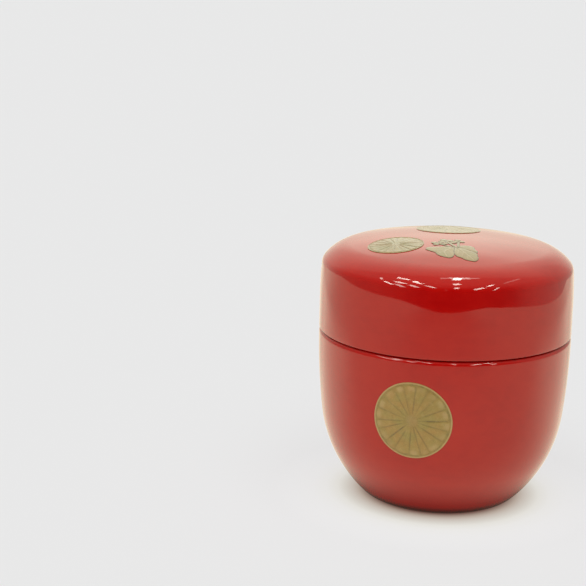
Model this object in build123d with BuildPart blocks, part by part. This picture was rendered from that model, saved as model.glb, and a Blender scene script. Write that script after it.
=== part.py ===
"""Medium round tea caddy in red lacquer over turned wood.

A bowl-shaped body carries an upright inner rim, and a domed lid slides down
over that rim and comes to rest on the body's ledge. Body and lid are turned
wood cores. Each core has a hemp band glued round its mouth, a ground coat, a
red outer coat and a black inner coat, and gold ornaments stand a little proud
of the red.

Frame: origin at the centre of the base on the table plane, +Z up the turning
axis, -Y towards the viewer. Millimetres.
"""

from build123d import *
from math import asin, atan2, cos, degrees, pi, radians, sin, sqrt
import os

os.makedirs("parts", exist_ok=True)

# ------------------------------------------------------------ driving dimensions
R_OUT = 33.1  # greatest outer radius, at the ledge
EDGE_ROUND = 1.1  # rounding of the body's upper outer edge
BODY_R1, BODY_A1 = 176.0, 6.7  # upper wall arc: radius, turned angle
BODY_R2, BODY_A2 = 36.2, 39.1  # belly arc
BODY_R3 = 5.0  # arc that brings the belly down to the foot
FOOT_IN = 15.5  # inner edge of the flat foot ring
RECESS_R = 14.6  # flat of the shallow recess under the base
RECESS_H = 0.9

RED_T = 0.25  # red top coat
GROUND_T = 0.35  # ground coat under the red
CLOTH_T = 0.20  # hemp band, let into the ground coat
BLACK_T = 0.25  # black inner coat
BASE_T = 0.60  # coats under the base

RIM_OUT = 31.2  # upright inner rim, outer radius over its coat
RIM_IN = 29.5  # and inner radius
RIM_H = 8.0  # height of the rim above the ledge
SEAT_R = 32.0  # outer edge of the flat seat on the ledge
FLOOR_Z = 4.3  # inside floor of the body
BOWL_R = 12.0  # inside corner between wall and floor

LID_CLEAR = 0.12  # running gap between the rim and the lid's skirt
LID_LINE = 8.13  # straight stretch of the lid's wall
LID_R1, LID_A1 = 109.2, 4.52  # slight draw-in above it
LID_R2, LID_A2 = 3.1, 37.7  # shoulder, tight part
LID_R3, LID_A3 = 11.5, 36.3  # shoulder, easing into the dome
LID_CEILING_T = 3.2  # thickness of the lid at its crown
LID_IN_SHOULDER = 7.0  # inside corner of the lid
LID_IN_DOME = 120.0  # inside dome radius
LID_RELIEF = 0.20  # the lid's foot is eased away from the ledge outside its seat
LID_EDGE = 0.30  # rounding of the lid's lower outer edge

GOLD_T = 0.18  # how far the gold stands proud of the red

FLOWER_R = 10.0  # round flower on the body
FLOWER_Z = 28.9
FLOWER_AZ = -12.6  # degrees from -Y towards +X
LID_FLOWER_LEFT = (-13.2, -10.4, 7.2)  # x, y, radius
LID_FLOWER_BACK = (0.0, 10.2, 8.6)
CREST_ON_LID = (2.5, -14.0)
CREST_TURN = 27.0


# ------------------------------------------------------------ tangent chains
def tangent_chain(start, heading, segments):
    """Pieces of a smooth profile in the (r, z) half plane, each tangent to the next."""
    (r, z), a, pieces = start, radians(heading), []
    for kind, size, turn in segments:
        if kind == "line":
            end = (r + size * cos(a), z + size * sin(a))
            pieces.append(("line", (r, z), end, a))
            r, z = end
        else:
            t = radians(turn)
            side = 1 if t > 0 else -1
            centre = (r - side * size * sin(a), z + side * size * cos(a))
            a0 = atan2(z - centre[1], r - centre[0])
            pieces.append(("arc", centre, size, a0, t, side))
            r = centre[0] + size * cos(a0 + t)
            z = centre[1] + size * sin(a0 + t)
            a += t
    return pieces, (r, z), degrees(a)


def at(piece, t, share):
    """Point of a piece moved inwards by t, at a share of its length."""
    if piece[0] == "line":
        _, p, q, a = piece
        side = -1 if sin(a) < 0 else 1
        n = (side * sin(a), -side * cos(a))
        return (
            p[0] + (q[0] - p[0]) * share - t * n[0],
            p[1] + (q[1] - p[1]) * share - t * n[1],
        )
    _, c, size, a0, turn, _ = piece
    b = a0 + turn * share
    return (c[0] + (size - t) * cos(b), c[1] + (size - t) * sin(b))


def draw(pieces, t=0.0, back=False):
    """Adds the chain, moved inwards by t, to the line being built."""
    for piece in reversed(pieces) if back else pieces:
        p, m, q = at(piece, t, 0), at(piece, t, 0.5), at(piece, t, 1)
        if back:
            p, q = q, p
        if piece[0] == "line":
            Line(p, q)
        else:
            ThreePointArc(p, m, q)


# body, from the ledge's rounding down to the foot
fall = BODY_R1 * sin(radians(BODY_A1))
fall += BODY_R2 * (sin(radians(BODY_A1 + BODY_A2)) - sin(radians(BODY_A1)))
fall += BODY_R3 * (1 - sin(radians(BODY_A1 + BODY_A2)))
WALL_TOP = fall
Z_SEAM = WALL_TOP + EDGE_ROUND
body_chain, body_end, _ = tangent_chain(
    (R_OUT, WALL_TOP),
    -90,
    [
        ("arc", BODY_R1, -BODY_A1),
        ("arc", BODY_R2, -BODY_A2),
        ("arc", BODY_R3, -(90 - BODY_A1 - BODY_A2)),
    ],
)
FOOT_OUT = body_end[0]
Z_RIM = Z_SEAM + RIM_H

# inside of the body: the two wall arcs moved inwards, then a tighter corner
WALL_T = R_OUT - RIM_IN
belly_c = body_chain[1][1]
reach = BODY_R2 - WALL_T - BOWL_R
corner_c = (
    belly_c[0] + sqrt(reach**2 - (FLOOR_Z + BOWL_R - belly_c[1]) ** 2),
    FLOOR_Z + BOWL_R,
)
corner_a = atan2(corner_c[1] - belly_c[1], corner_c[0] - belly_c[0])
belly_a0 = body_chain[1][3]


def draw_bowl(t):
    """Inside of the body from the axis up to the foot of the rim, moved into the wall by t."""
    f = (corner_c[0], FLOOR_Z - t)
    Line((0, FLOOR_Z - t), f)

    def corner(a):
        k = BOWL_R + t
        return (corner_c[0] + k * cos(a), corner_c[1] + k * sin(a))

    ThreePointArc(f, corner((corner_a - pi / 2) / 2), corner(corner_a))

    def belly(a):
        k = BODY_R2 - WALL_T + t
        return (belly_c[0] + k * cos(a), belly_c[1] + k * sin(a))

    ThreePointArc(
        corner(corner_a), belly((corner_a + belly_a0) / 2), belly(belly_a0)
    )
    p, m, q = (at(body_chain[0], WALL_T - t, s) for s in (1, 0.5, 0))
    ThreePointArc(p, m, q)


# lid, from its lower edge up and over to the axis
lid_start = (R_OUT, Z_SEAM + LID_RELIEF + LID_EDGE)
lid_segments = [
    ("line", LID_LINE, 0),
    ("arc", LID_R1, LID_A1),
    ("arc", LID_R2, LID_A2),
    ("arc", LID_R3, LID_A3),
]
_, lid_end, lid_heading = tangent_chain(lid_start, 90, lid_segments)
dome_turn = 180 - lid_heading
LID_DOME = lid_end[0] / sin(radians(dome_turn))
lid_chain, lid_top, _ = tangent_chain(
    lid_start, 90, lid_segments + [("arc", LID_DOME, dome_turn)]
)
Z_TOP = lid_top[1]
LID_IN = RIM_OUT + LID_CLEAR

ceiling = Z_TOP - LID_CEILING_T
dome_c = ceiling - LID_IN_DOME
lid_c_r = LID_IN - LID_IN_SHOULDER
lid_c_z = dome_c + sqrt((LID_IN_DOME - LID_IN_SHOULDER) ** 2 - lid_c_r**2)
lid_in_a = atan2(lid_c_z - dome_c, lid_c_r)


def draw_ceiling(t, low):
    """Inside of the lid from height low up its skirt and over to the axis, moved into the wood by t."""
    Line((LID_IN + t, low), (LID_IN + t, lid_c_z))

    def shoulder(a):
        k = LID_IN_SHOULDER + t
        return (lid_c_r + k * cos(a), lid_c_z + k * sin(a))

    ThreePointArc(shoulder(0), shoulder(lid_in_a / 2), shoulder(lid_in_a))
    k = LID_IN_DOME + t
    a = (lid_in_a + pi / 2) / 2
    ThreePointArc(
        shoulder(lid_in_a), (k * cos(a), dome_c + k * sin(a)), (0, dome_c + k)
    )


print(
    "seam",
    round(Z_SEAM, 3),
    "rim",
    round(Z_RIM, 3),
    "top",
    round(Z_TOP, 3),
    "foot",
    round(FOOT_OUT, 3),
    "dome",
    round(LID_DOME, 2),
)

# ------------------------------------------------------------ body
SKIN_T = RED_T + GROUND_T
seat_round = EDGE_ROUND
rim_mid = (RIM_OUT + RIM_IN) / 2
rim_half = (RIM_OUT - RIM_IN) / 2


def edge_arc(t):
    """Rounding between wall and ledge, moved inwards by t, from the seat outwards."""
    k = EDGE_ROUND - t
    c = (SEAT_R, WALL_TOP)
    ThreePointArc(
        (c[0], c[1] + k),
        (c[0] + k * cos(pi / 4), c[1] + k * sin(pi / 4)),
        (c[0] + k, c[1]),
    )


with BuildPart() as body_mouth_cloth:
    with BuildSketch(Plane.XZ):
        with BuildLine():
            draw(body_chain[:1], SKIN_T - CLOTH_T)
            Line(at(body_chain[0], SKIN_T - CLOTH_T, 1), at(body_chain[0], SKIN_T, 1))
            draw(body_chain[:1], SKIN_T, back=True)
            Line(at(body_chain[0], SKIN_T, 0), at(body_chain[0], SKIN_T - CLOTH_T, 0))
        make_face()
    revolve(axis=Axis.Z)
    with BuildSketch(Plane.XY.offset(WALL_TOP - 7.2)):
        Circle(R_OUT + 2)
    extrude(amount=6.5, mode=Mode.INTERSECT)

with BuildPart() as body_ground_coat:
    with BuildSketch(Plane.XZ):
        with BuildLine():
            edge_arc(RED_T)
            draw(body_chain, RED_T)
            Line((FOOT_OUT, RED_T), (FOOT_OUT, SKIN_T))
            draw(body_chain, SKIN_T, back=True)
            k = EDGE_ROUND - SKIN_T
            ThreePointArc(
                (SEAT_R + k, WALL_TOP),
                (SEAT_R + k * cos(pi / 4), WALL_TOP + k * sin(pi / 4)),
                (SEAT_R, WALL_TOP + k),
            )
            Line((SEAT_R, WALL_TOP + k), (SEAT_R, Z_SEAM - RED_T))
        make_face()
    revolve(axis=Axis.Z)
    add(body_mouth_cloth.part, mode=Mode.SUBTRACT)

with BuildPart() as body_red_lacquer:
    with BuildSketch(Plane.XZ):
        with BuildLine():
            edge_arc(0)
            draw(body_chain, 0)
            Line((FOOT_OUT, 0), (FOOT_OUT, RED_T))
            draw(body_chain, RED_T, back=True)
            k = EDGE_ROUND - RED_T
            ThreePointArc(
                (SEAT_R + k, WALL_TOP),
                (SEAT_R + k * cos(pi / 4), WALL_TOP + k * sin(pi / 4)),
                (SEAT_R, WALL_TOP + k),
            )
            Line((SEAT_R, Z_SEAM - RED_T), (SEAT_R, Z_SEAM))
        make_face()
    revolve(axis=Axis.Z)

# black coat: bowl, rim and the flat seat that the lid stands on
with BuildPart() as body_black_lacquer:
    with BuildSketch(Plane.XZ):
        with BuildLine():
            top = Z_RIM - rim_half
            draw_bowl(0)
            Line((RIM_IN, WALL_TOP), (RIM_IN, top))
            ThreePointArc((RIM_IN, top), (rim_mid, Z_RIM), (RIM_OUT, top))
            Line((RIM_OUT, top), (RIM_OUT, Z_SEAM))
            Line((RIM_OUT, Z_SEAM), (SEAT_R, Z_SEAM))
            Line((SEAT_R, Z_SEAM), (SEAT_R, Z_SEAM - BLACK_T))
            Line((SEAT_R, Z_SEAM - BLACK_T), (RIM_OUT - BLACK_T, Z_SEAM - BLACK_T))
            Line((RIM_OUT - BLACK_T, Z_SEAM - BLACK_T), (RIM_OUT - BLACK_T, top))
            ThreePointArc(
                (RIM_OUT - BLACK_T, top),
                (rim_mid, Z_RIM - BLACK_T),
                (RIM_IN + BLACK_T, top),
            )
            Line((RIM_IN + BLACK_T, top), (RIM_IN + BLACK_T, WALL_TOP))
            draw_bowl(BLACK_T)
            Line((0, FLOOR_Z - BLACK_T), (0, FLOOR_Z))
        make_face()
    revolve(axis=Axis.Z)

CLOTH_Z = RECESS_H + BASE_T
BASE_CLOTH_T = 0.3
BASE_CLOTH_R = 14.0

with BuildPart() as body_core:
    with BuildSketch(Plane.XZ):
        with BuildLine():
            top = Z_RIM - rim_half
            draw_bowl(BLACK_T)
            Line((RIM_IN + BLACK_T, WALL_TOP), (RIM_IN + BLACK_T, top))
            ThreePointArc(
                (RIM_IN + BLACK_T, top),
                (rim_mid, Z_RIM - BLACK_T),
                (RIM_OUT - BLACK_T, top),
            )
            Line((RIM_OUT - BLACK_T, top), (RIM_OUT - BLACK_T, Z_SEAM - BLACK_T))
            Line((RIM_OUT - BLACK_T, Z_SEAM - BLACK_T), (SEAT_R, Z_SEAM - BLACK_T))
            Line((SEAT_R, Z_SEAM - BLACK_T), (SEAT_R, WALL_TOP + EDGE_ROUND - SKIN_T))
            edge_arc(SKIN_T)
            draw(body_chain, SKIN_T)
            Line((FOOT_OUT, SKIN_T), (FOOT_IN + 0.2, BASE_T))
            Line((FOOT_IN + 0.2, BASE_T), (RECESS_R, CLOTH_Z))
            Line((RECESS_R, CLOTH_Z), (BASE_CLOTH_R, CLOTH_Z))
            Line((BASE_CLOTH_R, CLOTH_Z), (BASE_CLOTH_R, CLOTH_Z + BASE_CLOTH_T))
            Line((BASE_CLOTH_R, CLOTH_Z + BASE_CLOTH_T), (0, CLOTH_Z + BASE_CLOTH_T))
            Line((0, CLOTH_Z + BASE_CLOTH_T), (0, FLOOR_Z - BLACK_T))
        make_face()
    revolve(axis=Axis.Z)

with BuildPart() as base_cloth:
    with BuildSketch(Plane.XY.offset(CLOTH_Z)):
        Circle(BASE_CLOTH_R)
    extrude(amount=BASE_CLOTH_T)

# coats under the base: a flat foot ring to stand on, and a shallow recess
with BuildPart() as base_lacquer:
    with BuildSketch(Plane.XZ):
        with BuildLine():
            Line((FOOT_OUT, SKIN_T), (FOOT_OUT, 0))
            Line((FOOT_OUT, 0), (FOOT_IN, 0))
            h = 0.5
            ThreePointArc(
                (FOOT_IN, 0),
                (FOOT_IN - h * sin(pi / 4), h - h * cos(pi / 4)),
                (FOOT_IN - h, h),
            )
            g = RECESS_H - h
            ThreePointArc(
                (FOOT_IN - h, h),
                (RECESS_R + g * cos(pi / 4), h + g * sin(pi / 4)),
                (RECESS_R, RECESS_H),
            )
            Line((RECESS_R, RECESS_H), (0, RECESS_H))
            Line((0, RECESS_H), (0, CLOTH_Z))
            Line((0, CLOTH_Z), (RECESS_R, CLOTH_Z))
            Line((RECESS_R, CLOTH_Z), (FOOT_IN + 0.2, BASE_T))
            Line((FOOT_IN + 0.2, BASE_T), (FOOT_OUT, SKIN_T))
        make_face()
    revolve(axis=Axis.Z)

# ------------------------------------------------------------ lid
EDGE_TOP = Z_SEAM + 0.35  # the lid's coats are this deep at its lower edge
SEAT_IN = LID_IN + 0.2  # chamfer on the skirt's inner edge

with BuildPart() as lid_mouth_cloth:
    with BuildSketch(Plane.XY.offset(Z_SEAM + 1.6)):
        Circle(R_OUT - SKIN_T + CLOTH_T)
        Circle(R_OUT - SKIN_T, mode=Mode.SUBTRACT)
    extrude(amount=6.0)

with BuildPart() as lid_ground_coat:
    with BuildSketch(Plane.XZ):
        with BuildLine():
            Line((R_OUT - RED_T, EDGE_TOP), at(lid_chain[0], RED_T, 0))
            draw(lid_chain, RED_T)
            Line((0, Z_TOP - RED_T), (0, Z_TOP - SKIN_T))
            draw(lid_chain, SKIN_T, back=True)
            Line(at(lid_chain[0], SKIN_T, 0), (R_OUT - SKIN_T, EDGE_TOP))
            Line((R_OUT - SKIN_T, EDGE_TOP), (R_OUT - RED_T, EDGE_TOP))
        make_face()
    revolve(axis=Axis.Z)
    add(lid_mouth_cloth.part, mode=Mode.SUBTRACT)

with BuildPart() as lid_red_lacquer:
    with BuildSketch(Plane.XZ):
        with BuildLine():
            foot = (R_OUT - LID_EDGE, Z_SEAM + LID_RELIEF)
            Line((SEAT_R, Z_SEAM), foot)
            e = LID_EDGE * sin(pi / 4)
            ThreePointArc(
                foot, (foot[0] + e, foot[1] + LID_EDGE - e), (R_OUT, lid_start[1])
            )
            draw(lid_chain, 0)
            Line((0, Z_TOP), (0, Z_TOP - RED_T))
            draw(lid_chain, RED_T, back=True)
            Line(at(lid_chain[0], RED_T, 0), (R_OUT - RED_T, EDGE_TOP))
            Line((R_OUT - RED_T, EDGE_TOP), (SEAT_R, EDGE_TOP))
            Line((SEAT_R, EDGE_TOP), (SEAT_R, Z_SEAM))
        make_face()
    revolve(axis=Axis.Z)

with BuildPart() as lid_black_lacquer:
    with BuildSketch(Plane.XZ):
        with BuildLine():
            Line((SEAT_R, EDGE_TOP), (SEAT_R, Z_SEAM))
            Line((SEAT_R, Z_SEAM), (SEAT_IN, Z_SEAM))
            Line((SEAT_IN, Z_SEAM), (LID_IN, Z_SEAM + 0.2))
            draw_ceiling(0, Z_SEAM + 0.2)
            Line((0, ceiling), (0, ceiling + BLACK_T))
            draw_ceiling(BLACK_T, EDGE_TOP)
            Line((LID_IN + BLACK_T, EDGE_TOP), (SEAT_R, EDGE_TOP))
        make_face()
    revolve(axis=Axis.Z)

with BuildPart() as lid_core:
    with BuildSketch(Plane.XZ):
        with BuildLine():
            draw_ceiling(BLACK_T, EDGE_TOP)
            Line((LID_IN + BLACK_T, EDGE_TOP), (R_OUT - SKIN_T, EDGE_TOP))
            Line((R_OUT - SKIN_T, EDGE_TOP), at(lid_chain[0], SKIN_T, 0))
            draw(lid_chain, SKIN_T)
            Line((0, Z_TOP - SKIN_T), (0, ceiling + BLACK_T))
        make_face()
    revolve(axis=Axis.Z)


# ------------------------------------------------------------ gold ornaments
def body_plane(azimuth, z):
    """Plane on the belly at that azimuth and height, facing straight out, local y upwards."""
    a = asin((z - belly_c[1]) / BODY_R2)
    r = belly_c[0] + BODY_R2 * cos(a)
    az = radians(azimuth)
    out = Vector(sin(az) * cos(a), -cos(az) * cos(a), sin(a))
    side = Vector(cos(az), sin(az), 0)
    return Plane(
        origin=(r * sin(az), -r * cos(az), z), x_dir=side, z_dir=out
    )


def gold_on_body():
    """Outline of the thin gold layer on the belly and wall."""
    draw(body_chain[:2], 0)
    Line(at(body_chain[1], 0, 1), at(body_chain[1], -GOLD_T, 1))
    draw(body_chain[:2], -GOLD_T, back=True)
    Line(at(body_chain[0], -GOLD_T, 0), at(body_chain[0], 0, 0))


def gold_on_lid():
    """Outline of the thin gold layer on the dome."""
    draw(lid_chain[3:], 0)
    Line((0, Z_TOP), (0, Z_TOP + GOLD_T))
    draw(lid_chain[3:], -GOLD_T, back=True)
    Line(at(lid_chain[3], -GOLD_T, 0), at(lid_chain[3], 0, 0))


def rounded(points, steps=6):
    """Closed smooth outline through the points."""
    n, out = len(points), []
    for i in range(n):
        p0, p1, p2, p3 = (points[(i + k) % n] for k in (-1, 0, 1, 2))
        for j in range(steps):
            t = j / steps
            out.append(
                tuple(
                    0.5
                    * (
                        2 * b
                        + (c - a) * t
                        + (2 * a - 5 * b + 4 * c - d) * t**2
                        + (3 * b - a - 3 * c + d) * t**3
                    )
                    for a, b, c, d in zip(p0, p1, p2, p3)
                )
            )
    return out


# leaf outlines in the crest's own plane, x to the right and y towards the buds
SIDE_LEAF = [
    (0.2, 0.9), (-2.2, 2.4), (-4.6, 3.1), (-6.9, 3.5), (-7.8, 2.2), (-7.2, 0.4),
    (-6.7, -0.9), (-6.9, -2.5), (-6.2, -4.3), (-4.9, -5.7), (-3.6, -5.0),
    (-2.4, -3.2), (-0.9, -1.2),
]
MIDDLE_LEAF = [
    (0, 1.0), (-1.5, -0.9), (-2.5, -3.0), (-2.9, -5.2), (-2.3, -6.6), (-1.7, -8.2),
    (0, -9.6), (1.7, -8.2), (2.3, -6.6), (2.9, -5.2), (2.5, -3.0), (1.5, -0.9),
]
SMALL_LEAF = [  # the one turned away on the right, part hidden behind the middle leaf
    (0.2, 0.9), (1.6, 1.8), (3.1, 1.6), (4.2, 0.7), (4.4, -0.6), (3.9, -1.9),
    (3.9, -3.2), (3.2, -4.5), (2.2, -3.4), (0.9, -1.2),
]


def crest():
    """Leaf crest: a broad, a long and a small leaf below and three budding stems above, 12 wide and 19 high."""
    Polygon(*rounded(SIDE_LEAF), align=None)
    Polygon(*rounded(SMALL_LEAF), align=None)
    Polygon(*rounded(MIDDLE_LEAF), align=None)
    with Locations((0, 4.0)):
        Rectangle(0.8, 8.0)
    with Locations(Location((-1.9, 3.4), 28), Location((1.9, 3.4), -28)):
        Rectangle(0.7, 5.6)
    with Locations((0, 8.0), (-1.1, 6.7), (1.1, 6.7), (-1.2, 4.9), (1.2, 4.9)):
        Circle(0.95)
    with Locations((-3.3, 6.6), (-3.6, 5.0), (-2.2, 5.5), (3.3, 6.6), (3.6, 5.0), (2.2, 5.5)):
        Circle(0.85)


with BuildPart() as body_flower_front:
    with BuildSketch(Plane.XZ):
        with BuildLine():
            gold_on_body()
        make_face()
    revolve(axis=Axis.Z)
    with BuildSketch(body_plane(FLOWER_AZ, FLOWER_Z)):
        Circle(FLOWER_R)
    extrude(amount=5, both=True, mode=Mode.INTERSECT)

with BuildPart() as body_flower_back:
    with BuildSketch(Plane.XZ):
        with BuildLine():
            gold_on_body()
        make_face()
    revolve(axis=Axis.Z)
    with BuildSketch(body_plane(FLOWER_AZ - 120, FLOWER_Z - 2)):
        Circle(FLOWER_R - 1)
    extrude(amount=5, both=True, mode=Mode.INTERSECT)

with BuildPart() as body_crest_back:
    with BuildSketch(Plane.XZ):
        with BuildLine():
            gold_on_body()
        make_face()
    revolve(axis=Axis.Z)
    with BuildSketch(body_plane(FLOWER_AZ + 120, FLOWER_Z)):
        crest()
    extrude(amount=5, both=True, mode=Mode.INTERSECT)

with BuildPart() as lid_flower_left:
    with BuildSketch(Plane.XZ):
        with BuildLine():
            gold_on_lid()
        make_face()
    revolve(axis=Axis.Z)
    with BuildSketch(Plane.XY.offset(Z_TOP - 4)):
        with Locations(LID_FLOWER_LEFT[:2]):
            Circle(LID_FLOWER_LEFT[2])
    extrude(amount=8, mode=Mode.INTERSECT)

with BuildPart() as lid_flower_back:
    with BuildSketch(Plane.XZ):
        with BuildLine():
            gold_on_lid()
        make_face()
    revolve(axis=Axis.Z)
    with BuildSketch(Plane.XY.offset(Z_TOP - 4)):
        with Locations(LID_FLOWER_BACK[:2]):
            Circle(LID_FLOWER_BACK[2])
    extrude(amount=8, mode=Mode.INTERSECT)

with BuildPart() as lid_crest_front:
    with BuildSketch(Plane.XZ):
        with BuildLine():
            gold_on_lid()
        make_face()
    revolve(axis=Axis.Z)
    with BuildSketch(
        Plane(
            origin=(*CREST_ON_LID, Z_TOP - 4),
            x_dir=(cos(radians(CREST_TURN)), sin(radians(CREST_TURN)), 0),
            z_dir=(0, 0, 1),
        )
    ):
        crest()
    extrude(amount=8, mode=Mode.INTERSECT)

# ------------------------------------------------------------ hand over
body_core.part.label = "body_core"
body_mouth_cloth.part.label = "body_mouth_cloth"
body_ground_coat.part.label = "body_ground_coat"
body_red_lacquer.part.label = "body_red_lacquer"
body_black_lacquer.part.label = "body_black_lacquer"
base_cloth.part.label = "base_cloth"
base_lacquer.part.label = "base_lacquer"
lid_core.part.label = "lid_core"
lid_mouth_cloth.part.label = "lid_mouth_cloth"
lid_ground_coat.part.label = "lid_ground_coat"
lid_red_lacquer.part.label = "lid_red_lacquer"
lid_black_lacquer.part.label = "lid_black_lacquer"
body_flower_front.part.label = "body_flower_front"
body_flower_back.part.label = "body_flower_back"
body_crest_back.part.label = "body_crest_back"
lid_flower_left.part.label = "lid_flower_left"
lid_flower_back.part.label = "lid_flower_back"
lid_crest_front.part.label = "lid_crest_front"

export_step(body_core.part, "parts/body_core.step")
export_step(body_mouth_cloth.part, "parts/body_mouth_cloth.step")
export_step(body_ground_coat.part, "parts/body_ground_coat.step")
export_step(body_red_lacquer.part, "parts/body_red_lacquer.step")
export_step(body_black_lacquer.part, "parts/body_black_lacquer.step")
export_step(base_cloth.part, "parts/base_cloth.step")
export_step(base_lacquer.part, "parts/base_lacquer.step")
export_step(lid_core.part, "parts/lid_core.step")
export_step(lid_mouth_cloth.part, "parts/lid_mouth_cloth.step")
export_step(lid_ground_coat.part, "parts/lid_ground_coat.step")
export_step(lid_red_lacquer.part, "parts/lid_red_lacquer.step")
export_step(lid_black_lacquer.part, "parts/lid_black_lacquer.step")
export_step(body_flower_front.part, "parts/body_flower_front.step")
export_step(body_flower_back.part, "parts/body_flower_back.step")
export_step(body_crest_back.part, "parts/body_crest_back.step")
export_step(lid_flower_left.part, "parts/lid_flower_left.step")
export_step(lid_flower_back.part, "parts/lid_flower_back.step")
export_step(lid_crest_front.part, "parts/lid_crest_front.step")
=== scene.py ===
import random
from math import (
    acos, asin, atan2, ceil, cos, degrees, floor, hypot, pi, radians, sin, sqrt,
)

import bpy
from mathutils import Matrix, Vector, geometry, noise


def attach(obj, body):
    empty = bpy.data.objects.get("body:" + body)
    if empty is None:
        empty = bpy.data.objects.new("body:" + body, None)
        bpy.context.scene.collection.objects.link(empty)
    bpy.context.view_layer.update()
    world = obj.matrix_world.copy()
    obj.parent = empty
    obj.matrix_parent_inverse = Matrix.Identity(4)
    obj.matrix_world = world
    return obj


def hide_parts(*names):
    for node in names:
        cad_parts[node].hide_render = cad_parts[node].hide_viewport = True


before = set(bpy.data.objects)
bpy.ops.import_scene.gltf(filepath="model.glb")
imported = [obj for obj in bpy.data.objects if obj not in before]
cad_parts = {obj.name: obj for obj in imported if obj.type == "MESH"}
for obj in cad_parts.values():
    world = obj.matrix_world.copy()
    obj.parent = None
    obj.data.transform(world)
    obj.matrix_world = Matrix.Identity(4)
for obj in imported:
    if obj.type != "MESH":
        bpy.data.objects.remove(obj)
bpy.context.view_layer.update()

MM = 0.001

# ------------------------------------------------------------ camera
scene = bpy.context.scene
cam_data = bpy.data.cameras.new("camera")
cam = bpy.data.objects.new("camera", cam_data)
scene.collection.objects.link(cam)
scene.camera = cam
cam_data.sensor_width = 36.0
cam_data.lens = 95.22
cam_data.clip_start = 0.01
cam_data.clip_end = 20.0
right = Vector((0.99429956, 0.10504947, 0.01824785))
up = Vector((-0.04190535, 0.22764707, 0.97284159))
ahead = Vector((-0.09804243, 0.96806065, -0.23075152))
turn = Matrix((right, up, -ahead)).transposed()
cam.matrix_world = Matrix.Translation((0.0, -0.398841, 0.147650)) @ turn.to_4x4()

scene.view_settings.view_transform = "Standard"
scene.view_settings.look = "None"
scene.view_settings.exposure = 0.0
scene.view_settings.gamma = 1.0

# ------------------------------------------------------------ measures, in mm
R_OUT = 33.1
EDGE_ROUND = 1.1
FOOT_IN = 15.5
RECESS_R = 14.6
RECESS_H = 0.9
RED_T = 0.25
GROUND_T = 0.35
BLACK_T = 0.25
BASE_T = 0.60
RIM_OUT = 31.2
RIM_IN = 29.5
RIM_H = 8.0
SEAT_R = 32.0
FLOOR_Z = 4.3
BOWL_R = 12.0
LID_CLEAR = 0.12
LID_CEILING_T = 3.2
LID_IN_SHOULDER = 7.0
LID_IN_DOME = 120.0
LID_RELIEF = 0.20
LID_EDGE = 0.30
GOLD_T = 0.18
SKIN_T = RED_T + GROUND_T
BODY_ARCS = [(176.0, 6.7), (36.2, 39.1), (5.0, 44.2)]
LID_LINE = 8.13
LID_ARCS = [(109.2, 4.52), (3.1, 37.7), (11.5, 36.3)]


# ------------------------------------------------------------ turned profiles
def tangent_chain(start, heading, segments):
    """Pieces of a smooth profile in the (r, z) half plane, each tangent to the next."""
    (r, z), a, pieces = start, radians(heading), []
    for kind, size, turned in segments:
        if kind == "line":
            end = (r + size * cos(a), z + size * sin(a))
            pieces.append(("line", (r, z), end, a, size))
            r, z = end
        else:
            t = radians(turned)
            side = 1 if t > 0 else -1
            centre = (r - side * size * sin(a), z + side * size * cos(a))
            a0 = atan2(z - centre[1], r - centre[0])
            pieces.append(("arc", centre, size, a0, t))
            r = centre[0] + size * cos(a0 + t)
            z = centre[1] + size * sin(a0 + t)
            a += t
    return pieces, (r, z), degrees(a)


def at(piece, t, share):
    """Point of a piece moved inwards by t, at a share of its length."""
    if piece[0] == "line":
        _, p, q, a, _ = piece
        side = -1 if sin(a) < 0 else 1
        n = (side * sin(a), -side * cos(a))
        return (
            p[0] + (q[0] - p[0]) * share - t * n[0],
            p[1] + (q[1] - p[1]) * share - t * n[1],
        )
    _, c, size, a0, t_turn = piece
    b = a0 + t_turn * share
    return (c[0] + (size - t) * cos(b), c[1] + (size - t) * sin(b))


def trace(pieces, t=0.0, step=0.45, back=False):
    """Points along a chain, moved inwards by t."""
    out = []
    for piece in reversed(pieces) if back else pieces:
        if piece[0] == "line":
            n = max(1, ceil(piece[4] / (step * 2)))
        else:
            n = max(2, ceil(abs(piece[4]) * piece[2] / step), ceil(abs(degrees(piece[4])) / (1.4 if t == 0 else 4)))
        for i in range(n + 1):
            s = i / n
            out.append(at(piece, t, 1 - s if back else s))
    return out


def arc(c, k, a0, a1, n):
    """Points of an arc between two angles in degrees."""
    return [
        (c[0] + k * cos(radians(a0 + (a1 - a0) * i / n)), c[1] + k * sin(radians(a0 + (a1 - a0) * i / n)))
        for i in range(n + 1)
    ]


def span(p, q, step):
    """Points of a straight run."""
    n = max(1, ceil(hypot(q[0] - p[0], q[1] - p[1]) / step))
    return [(p[0] + (q[0] - p[0]) * i / n, p[1] + (q[1] - p[1]) * i / n) for i in range(n + 1)]


WALL_TOP = 0.0
low = 0.0
for size, turned in BODY_ARCS:
    WALL_TOP += size * (sin(radians(low + turned)) - sin(radians(low)))
    low += turned
Z_SEAM = WALL_TOP + EDGE_ROUND
Z_RIM = Z_SEAM + RIM_H
body_chain, body_end, _ = tangent_chain(
    (R_OUT, WALL_TOP), -90, [("arc", s, -t) for s, t in BODY_ARCS]
)
FOOT_OUT = body_end[0]
WALL_T = R_OUT - RIM_IN
belly_c = body_chain[1][1]
BODY_R1, BODY_R2 = BODY_ARCS[0][0], BODY_ARCS[1][0]
reach = BODY_R2 - WALL_T - BOWL_R
corner_c = (
    belly_c[0] + sqrt(reach**2 - (FLOOR_Z + BOWL_R - belly_c[1]) ** 2),
    FLOOR_Z + BOWL_R,
)
corner_a = degrees(atan2(corner_c[1] - belly_c[1], corner_c[0] - belly_c[0]))
belly_a0 = degrees(body_chain[1][3])

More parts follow.
